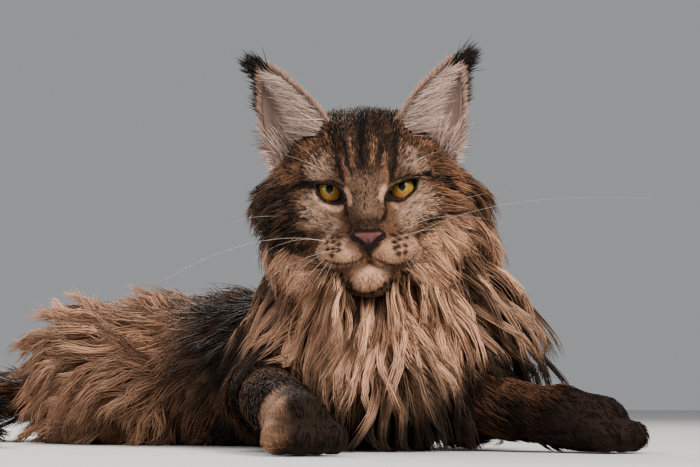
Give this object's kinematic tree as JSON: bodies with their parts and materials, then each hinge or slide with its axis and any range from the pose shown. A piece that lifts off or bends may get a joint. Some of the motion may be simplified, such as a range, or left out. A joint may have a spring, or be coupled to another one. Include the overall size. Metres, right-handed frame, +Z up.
{
  "type": "maine coon cat",
  "caption": "Life-size long-haired tabby cat lying on its breast, head raised, with tufted ears, a full ruff, forepaws ahead and a plumed tail curled forward.",
  "frame": {"origin": "on the floor, on the flat under the breastbone", "axes": "the cat looks along -Y, +X is its left, +Z is up"},
  "size_m": [0.5884, 0.6116, 0.2872],
  "materials": {
    "face_fur": "short dense tabby fur",
    "ear_fur": "thin fur, black tufts",
    "ruff_fur": "long silky cream and tan fur",
    "back_fur": "long dark tabby fur",
    "haunch_fur": "long wavy tan fur",
    "tail_fur": "long plumed dark fur",
    "leg_fur": "short dense tabby fur",
    "nose_skin": "bare, slightly moist",
    "eye": "wet and clear"
  },
  "bodies": {
    "root": {"head": "face_fur", "nose": "nose_skin", "eye_left": "eye", "eye_right": "eye", "ear_left": "ear_fur", "ear_right": "ear_fur", "ruff": "ruff_fur", "trunk": "back_fur", "thigh_left": "haunch_fur", "thigh_right": "haunch_fur", "tail_root": "tail_fur", "tail_middle": "tail_fur", "tail_tip": "tail_fur", "foreleg_left": "leg_fur", "foreleg_right": "leg_fur", "forepaw_left": "leg_fur", "forepaw_right": "leg_fur", "hindfoot_left": "leg_fur", "hindfoot_right": "leg_fur"}
  },
  "joints": []
}
